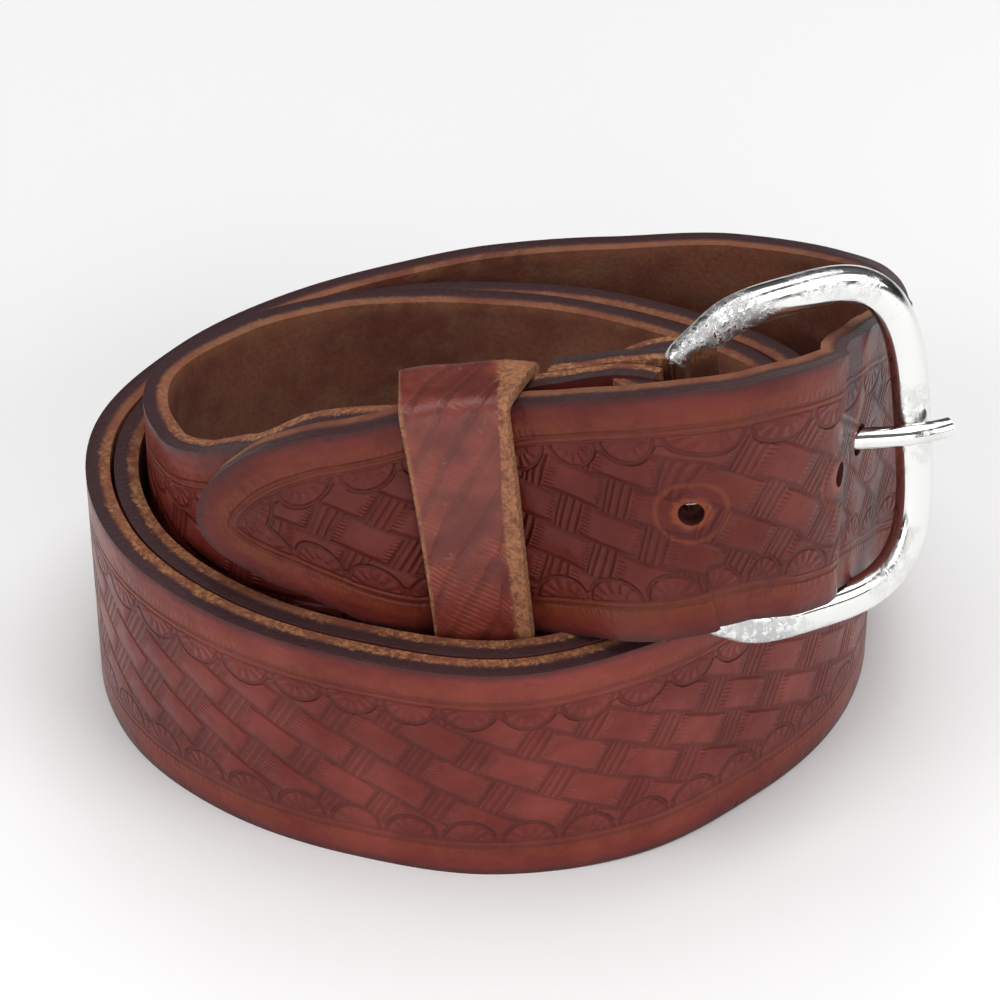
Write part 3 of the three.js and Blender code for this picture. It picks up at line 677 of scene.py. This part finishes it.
# raw tan fibres on the flesh half of the cut edge, in patches, fewer at the back and on the billet
in_front = place_along(tree, "Y").step(12, -18) * 0.65 + 0.35
polished = s.step(run_at(BILLET_TURN - 0.15), run_at(BILLET_TURN)) * 0.75
raw = (depth_in + fibre * 0.7 + patch * 0.5 - 0.6).step(0.5, 0.72)
raw = raw * e.step(2.2, 0.9) * patch.step(0.34, 0.56) * in_front * (1 - polished)
rim = e.step(1.1, 0.3) * depth_in.step(0.75, 0.45)
colour = tint(tree, rim, colour, BURNISH)
colour = tint(tree, raw * fibre.step(0.38, 0.6), colour, TAN)
colour = tint(tree, raw * fibre.step(0.6, 0.4) * 0.6, colour, TAN_DARK)
tree.links.new(colour, shader.inputs["Base Color"])
tree.links.new((depth_in.step(0.3, 0.6) * 0.4 + 0.42).source, shader.inputs["Roughness"])
shader.inputs["Specular IOR Level"].default_value = 0.35
set_relief(tree, shader, fibre * 0.22 + patch * 0.12)

strap.data.materials[0], strap.data.materials[1] = grain_leather, flesh_leather
sides = np.empty(len(strap.data.polygons), dtype=int)
strap.data.polygons.foreach_get("material_index", sides)
print("faces of grain, and of flesh and edge:", np.bincount(sides))

# %% Finish the strap
def finish_piece(piece, node, angle=35):
    """Smooth shading, the node it stands for and the body it rides on."""
    select(piece)
    bpy.ops.object.shade_smooth_by_angle(angle=math.radians(angle))
    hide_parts(node)
    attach(piece, "root")
    print(piece.name, "faces:", len(piece.data.polygons))

finish_piece(strap, "strap")

# %% [markdown]
# ## The buckle frame
# A cast frame: a flat band bent into a rounded rectangle, thinner where it becomes the heel bar
# that the strap folds round. A torus has the right ring of faces. Its big circle is pushed out
# to a superellipse, and its small one is flattened to the band, so that the metal stays smooth.

# %% The frame
MAJOR, MINOR = 192, 28
FLATTEN = 0.3  # squares off the band's round section
deselect()
bpy.ops.mesh.primitive_torus_add(major_segments=MAJOR, minor_segments=MINOR,
                                 major_radius=1, minor_radius=0.25)
buckle = bpy.context.object
buckle.name = buckle.data.name = "chrome_frame"
frame_mid = FRAME_LENGTH / 2 - HEEL
heel_side = frame_mid * 0.55
half_l, half_h = (FRAME_LENGTH - FRAME_BAND) / 2, (FRAME_HEIGHT - FRAME_BAND) / 2

def frame_line(angle):
    """Middle line of the band, from the middle of the heel bar: out of it, and along it."""
    c, s = math.cos(angle), math.sin(angle)
    bow = 2 / FRAME_SQUARE
    return (frame_mid + half_l * math.copysign(abs(c) ** bow, c),
            half_h * math.copysign(abs(s) ** bow, s))

# even steps along the line, so that the corners get as many faces as the sides
dense = np.linspace(0, 2 * math.pi, 4001)
line = np.array([frame_line(t) for t in dense])
length = np.concatenate([[0], np.cumsum(np.linalg.norm(np.diff(line, axis=0), axis=1))])
places, bands = [], []
for vertex in buckle.data.vertices:
    x, y, z = vertex.co
    share = (math.atan2(y, x) / (2 * math.pi)) % 1
    small = math.atan2(z, math.hypot(x, y) - 1)
    t = np.interp(share * length[-1], length, dense)
    a, u = frame_line(t)
    a1, u1 = frame_line(t + 1e-3)
    a0, u0 = frame_line(t - 1e-3)
    side = unit(np.array([u1 - u0, a0 - a1]))  # outward, in the frame's plane
    band = 1.0  # share of the full band; it falls to 0 along the heel bar
    if a < heel_side:
        band = float(np.clip((abs(u) - BAR_REACH) / BAR_MERGE, 0, 1))
        band = band * band * (3 - 2 * band)
        a = a * band
        side = unit(side * band + np.array([-1.0, 0]) * (1 - band))
    width = BAR_DIA / 2 * (1 - band) + FRAME_BAND / 2 * band
    deep = BAR_DIA / 2 * (1 - band) + FRAME_THICK / 2 * band
    power = 1 - FLATTEN * band
    cs, sn = math.cos(small), math.sin(small)
    w = width * math.copysign(abs(cs) ** power, cs)
    n = deep * math.copysign(abs(sn) ** power, sn)
    places.append(in_buckle(a + side[0] * w, u + side[1] * w, n))
    bands.append((a * MM, u * MM))
buckle.data.vertices.foreach_set("co", np.array(places).ravel())
clear_maps(buckle)
write_map(buckle, "flat", *np.array(bands).T)
buckle.data.update()
print("frame box, mm:", np.round((np.max(places, 0) - np.min(places, 0)) * 1000, 1))

# %% The prong
deselect()
bpy.ops.curve.primitive_nurbs_path_add()
prong = bpy.context.object
prong.name = prong.data.name = "chrome_prong"
prong.data.splines.clear()
spline = prong.data.splines.new("NURBS")
spline.points.add(len(TONGUE_LINE) - 1)
TAPER, TAPER_FROM, TAPER_TO = 0.18, 0.6, 1.1  # the prong thins toward its tip
for point, (out_share, height) in zip(spline.points, TONGUE_LINE):
    point.co = (*in_buckle(out_share * OUTER_BAR, 0, height * REST), 1)
    point.radius = 1.0 - TAPER * max(0, out_share - TAPER_FROM) / (TAPER_TO - TAPER_FROM)
spline.use_endpoint_u, spline.order_u, spline.resolution_u = True, 4, 10
prong.data.bevel_depth, prong.data.bevel_resolution = TONGUE_DIA / 2 * MM, 6
prong.data.use_fill_caps = True
select(prong)
bpy.ops.object.convert(target="MESH")
deselect()
eye_radius = BAR_DIA / 2 + FIT + RING_DIA / 2
bpy.ops.mesh.primitive_torus_add(major_segments=48, minor_segments=16,
                                 major_radius=eye_radius * MM, minor_radius=RING_DIA / 2 * MM)
eye = bpy.context.object
lay = Matrix([list(v) for v in np.stack([frame_along, frame_out, -frame_up], axis=1)]).to_4x4()
eye.data.transform(Matrix.Translation(Vector(in_buckle(0, 0, 0))) @ lay)
select(prong, eye)
bpy.ops.object.join()
use(prong, "BEVEL", width=0.5 * MM, segments=3, limit_method="ANGLE", angle_limit=math.radians(60))

# %% [markdown]
# ## The chrome
# The plating is bright and still smooth on most of the frame, with fine scratches. On the arms
# near the heel it has worn to a grey, pitted zinc. Noise in the object's own space gives both, and
# the band's map keeps most of the wear near the heel.

# %% Chrome
BRIGHT, GREY = (0.86, 0.86, 0.84), (0.34, 0.35, 0.36)
chrome, tree, shader = new_material("worn chrome")
scratch = noise(tree, 0.5, 4, 0.7)
cloud = noise(tree, 9, 3, 0.6, seed=4)
pit = noise(tree, 1.3, 5, 0.7, seed=9)
a, u = read_map(tree, "flat")
near_heel = (u * 1000).abs().step(17, 21) * a.step(17, 9) * a.step(-4, 1)
worn = (cloud.step(0.5, 0.62) * 0.35 + near_heel * cloud.step(0.35, 0.5)).least(1.0)
worn = worn * pit.step(0.4, 0.55)
tree.links.new(tint(tree, worn * 0.6, BRIGHT, GREY), shader.inputs["Base Color"])
tree.links.new((scratch * 0.08 + worn * 0.3 + 0.06).source, shader.inputs["Roughness"])
shader.inputs["Metallic"].default_value = 1
set_relief(tree, shader, scratch * 0.006 + worn * pit * -0.12)
for piece, node in ((buckle, "buckle_frame"), (prong, "buckle_tongue")):
    piece.data.materials.clear()
    piece.data.materials.append(chrome)
    finish_piece(piece, node, 60)

# %% [markdown]
# ## The keeper
# A short strap closed into a loop. It is thinner leather, cut from the same stamped hide, with raw
# edges that have gone pale and woolly. An open tube of faces is laid round the two thicknesses that
# it holds, then gets its own thickness.

# %% The keeper loop
PLAN = {"out": STRAP_THICK / 2 + 1.6 * FIT + KEEPER_THICK,
        "deep": -(PLY + STRAP_THICK / 2 + KEEPER_SLACK) - KEEPER_THICK,
        "top": STRAP_WIDTH / 2 + KEEPER_HEAD + KEEPER_THICK,
        "low": -STRAP_WIDTH / 2 - KEEPER_DROP - KEEPER_THICK}
CORNER, CORNER_STEPS = 2.4, 8
def keeper_plan(steps):
    """Outer outline of the loop: out of the strap and up its width, with round corners."""
    points = []
    front, back = PLAN["out"] - CORNER, PLAN["deep"] + CORNER
    top, low = PLAN["top"] - CORNER, PLAN["low"] + CORNER
    for x, y, start in ((back, low, 2), (front, low, 3), (front, top, 4), (back, top - KEEPER_SLOPE, 5)):
        for k in range(CORNER_STEPS + 1):
            a = (start + k / CORNER_STEPS) * math.pi / 2
            points.append((x + CORNER * math.cos(a), y + CORNER * math.sin(a)))
    points = np.array(points + points[:1])
    run = np.concatenate([[0], np.cumsum(np.linalg.norm(np.diff(points, axis=0), axis=1))])
    at = np.linspace(0, run[-1], steps, endpoint=False)
    plan = np.stack([np.interp(at, run, points[:, 0]), np.interp(at, run, points[:, 1])], axis=1)
    return plan, run[-1]

ROUND, ALONG = 120, 16
outline, girth = keeper_plan(ROUND)
deselect()
bpy.ops.mesh.primitive_cylinder_add(vertices=ROUND, radius=1, depth=2, end_fill_type="NOTHING")
keeper = bpy.context.object
keeper.name = keeper.data.name = "keeper"
bpy.ops.object.mode_set(mode="EDIT")
bpy.ops.mesh.select_all(action="SELECT")
bpy.ops.mesh.bisect(plane_co=(0, 0, 0), plane_no=(0, 0, 1))
for k in range(1, ALONG // 2):
    for side in (-1, 1):
        bpy.ops.mesh.select_all(action="SELECT")
        bpy.ops.mesh.bisect(plane_co=(0, 0, side * 2 * k / ALONG), plane_no=(0, 0, 1))
bpy.ops.object.mode_set(mode="OBJECT")
tilt = math.radians(KEEPER_TILT)
keeper_run, keeper_height = run_at(KEEPER_TURN), middle_at(KEEPER_TURN)[2]
flat = np.array([vertex.co[:] for vertex in keeper.data.vertices])
share_of = (np.arctan2(flat[:, 1], flat[:, 0]) / (2 * math.pi)) % 1
step_of = np.rint(share_of * ROUND).astype(int) % ROUND
width_of = flat[:, 2] * KEEPER_WIDTH / 2
laid = []
for i, w in zip(step_of, width_of):
    n, u = outline[i]
    at, along, up, out = section_at(turn_at(keeper_run + w * math.cos(tilt) + u * math.sin(tilt)))
    p = at + out * n
    p[2] = keeper_height + u * math.cos(tilt) - w * math.sin(tilt)
    laid.append((p + SHIFT) * MM)
keeper.data.vertices.foreach_set("co", np.array(laid).ravel())
clear_maps(keeper)
write_map(keeper, "flat", step_of / ROUND * girth * MM, width_of * MM)
write_map(keeper, "edge", (KEEPER_WIDTH / 2 - abs(width_of)) * MM, np.zeros(len(flat)))
keeper.data.update()
add_slots(keeper)
use(keeper, "SOLIDIFY", thickness=KEEPER_THICK * MM, offset=-1, material_offset=1, material_offset_rim=1)
use(keeper, "BEVEL", width=KEEPER_ROUND * MM, segments=3, limit_method="ANGLE",
    angle_limit=math.radians(50), loop_slide=False)

# %% Leather of the keeper
KEEPER_DARK, KEEPER_RED, SCUFF = (0.12, 0.016, 0.010), (0.22, 0.04, 0.024), (0.4, 0.2, 0.13)
BAR_PITCH, HATCH_PITCH = 4.4, 0.8
keeper_leather, tree, shader = new_material("keeper leather")
s, v = read_map(tree, "flat")
v = v * 1000
e = read_map(tree, "edge")[0]
fibre = noise(tree, 0.6, 4, 0.7)
mottle = noise(tree, 2.6, 4, 0.65, seed=6)
cloud = noise(tree, 9, 3, 0.6, seed=8)
slant = s * 0.5 + v * 0.87
bars = (slant.wave(BAR_PITCH) * 0.5 + 0.5).step(0.0, 0.35)
hatch = ((s * 0.8 - v * 0.6).wave(HATCH_PITCH) * 0.5 + 0.5) * cloud.step(0.45, 0.6)
colour = tint(tree, cloud.step(0.35, 0.68), KEEPER_DARK, KEEPER_RED)
colour = tint(tree, bars * -0.3 + 0.3, colour, GRAIN_DEEP)
colour = tint(tree, mottle.step(0.55, 0.8) * 0.4, colour, GRAIN_DEEP)
scuff = mottle.step(0.6, 0.72) * fibre.step(0.45, 0.6)
colour = tint(tree, scuff * 0.45, colour, SCUFF)
# the grain has worn off both edges, and farther in on one of them
raw = (e + fibre * 0.9).step(1.15, 0.6)
raw = raw.most((v + KEEPER_WIDTH / 2 - fibre * 2.6 - cloud * 1.4).step(0.9, -0.1))
wool = tint(tree, (fibre * 0.6 + mottle * 0.5).step(0.42, 0.66), TAN_DARK, TAN)
colour = tint(tree, raw * 0.8, colour, wool)
tree.links.new(colour, shader.inputs["Base Color"])
tree.links.new((mottle * 0.25 + raw * 0.3 + 0.3).source, shader.inputs["Roughness"])
set_relief(tree, shader, bars * 0.1 - hatch * 0.05 + mottle * 0.16 + fibre * 0.07)

# %% Raw edge and inner side of the keeper
WOOL_RED = (0.2, 0.06, 0.03)
raw_edge, tree, shader = new_material("raw keeper edge")
fibre = noise(tree, 0.6, 4, 0.75)
patch = noise(tree, 2.5, 4, 0.65, seed=2)
colour = tint(tree, fibre.step(0.35, 0.65), TAN_DARK, TAN)
colour = tint(tree, patch.step(0.55, 0.75) * 0.7, colour, WOOL_RED)
tree.links.new(colour, shader.inputs["Base Color"])
shader.inputs["Roughness"].default_value = 0.8
set_relief(tree, shader, fibre * 0.35)
keeper.data.materials[0], keeper.data.materials[1] = keeper_leather, raw_edge
finish_piece(keeper, "keeper_loop", 50)
